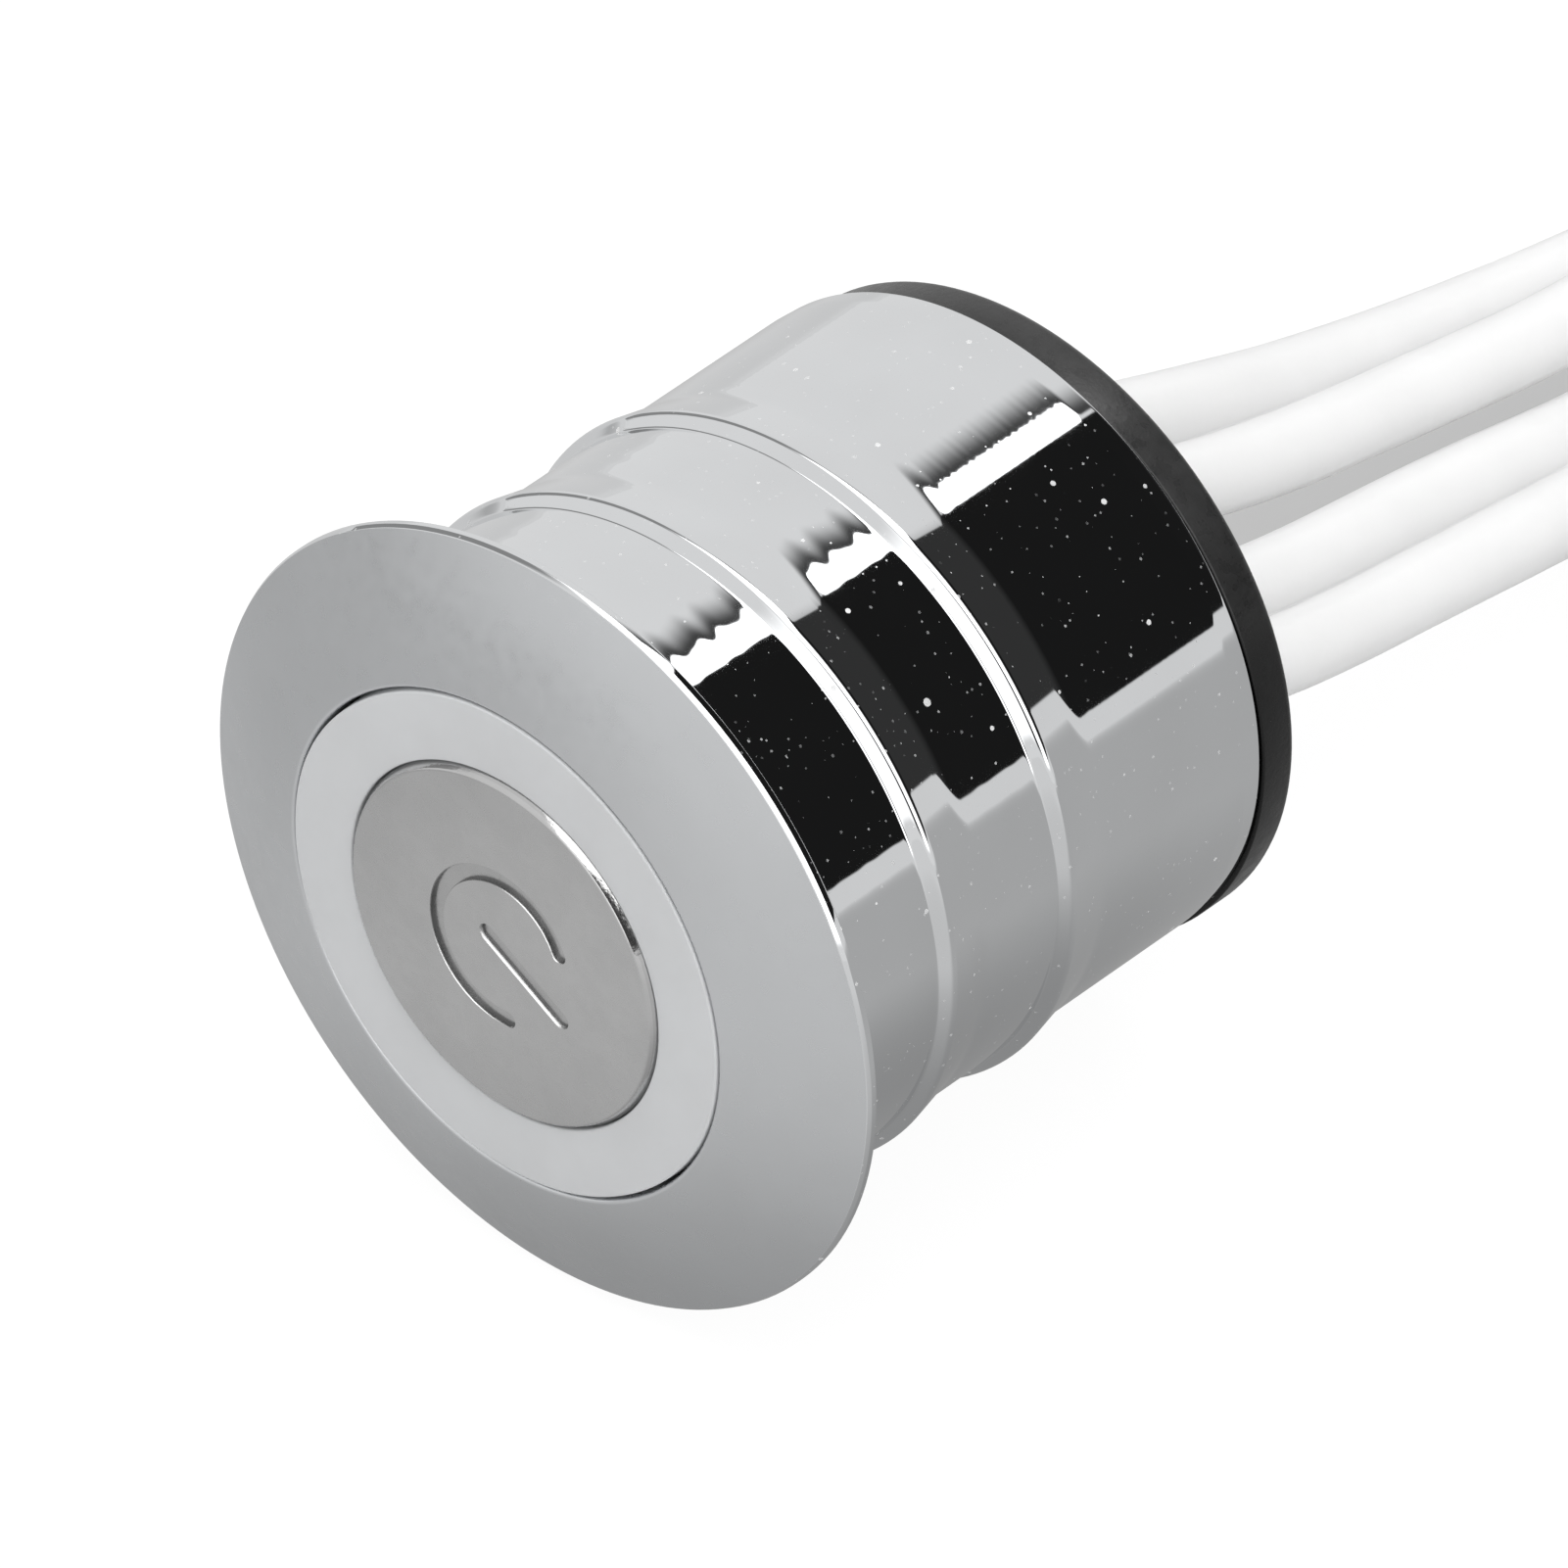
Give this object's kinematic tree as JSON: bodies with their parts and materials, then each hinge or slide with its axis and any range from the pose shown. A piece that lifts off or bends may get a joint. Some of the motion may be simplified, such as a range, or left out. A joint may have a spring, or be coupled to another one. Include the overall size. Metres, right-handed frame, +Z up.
{
  "type": "touch switch",
  "caption": "Recessed round touch dimmer switch: chromed barrel with a domed flange and ring barbs, satin touch plate in a milky light ring, black rear cap and white flat twin leads.",
  "frame": {"origin": "on the barrel's axis, in the plane of the flange's back face, where the panel's front face lies", "axes": "+Y along the barrel's axis from the face to the rear cap, +Z up, +X to the right seen from the face"},
  "size_m": [0.0532, 0.0785, 0.02],
  "materials": {
    "chromed_metal": "bright plated barrel with a pearl satin flange",
    "milky_plastic": "milky white, lets light through",
    "satin_metal": "fine satin with a bright edge",
    "spring_steel": "drawn wire",
    "board_laminate": "green solder mask",
    "led_body": "pale body with a yellowish lens",
    "chip_body": "moulded black",
    "chip_ceramic": "tan ceramic with tinned ends",
    "pin_metal": "thinly gilt",
    "tinned_metal": "tinned, soft sheen",
    "black_plastic": "matte moulded black",
    "white_sheath": "soft white sheath with a light sheen",
    "tie_sleeve": "ribbed white sleeve over wire"
  },
  "bodies": {
    "root": {"housing": "chromed_metal", "light_ring": "milky_plastic", "touch_plate": "satin_metal", "touch_spring": "spring_steel", "sensor_board": "board_laminate", "indicator_leds": "led_body", "touch_chip": "chip_body", "header_pins": "pin_metal", "pin_holder": "chip_body", "power_board": "board_laminate", "power_transistor": "chip_body", "voltage_regulator": "chip_body", "protection_diode": "chip_body", "chip_capacitors": "chip_ceramic", "chip_resistors": "chip_body", "solder_joints": "tinned_metal", "rear_cap": "black_plastic", "supply_lead": "white_sheath", "lamp_lead": "white_sheath", "supply_lead_ends": "tinned_metal", "lamp_lead_ends": "tinned_metal", "lead_coil": "white_sheath", "coil_tie": "tie_sleeve"}
  },
  "joints": []
}
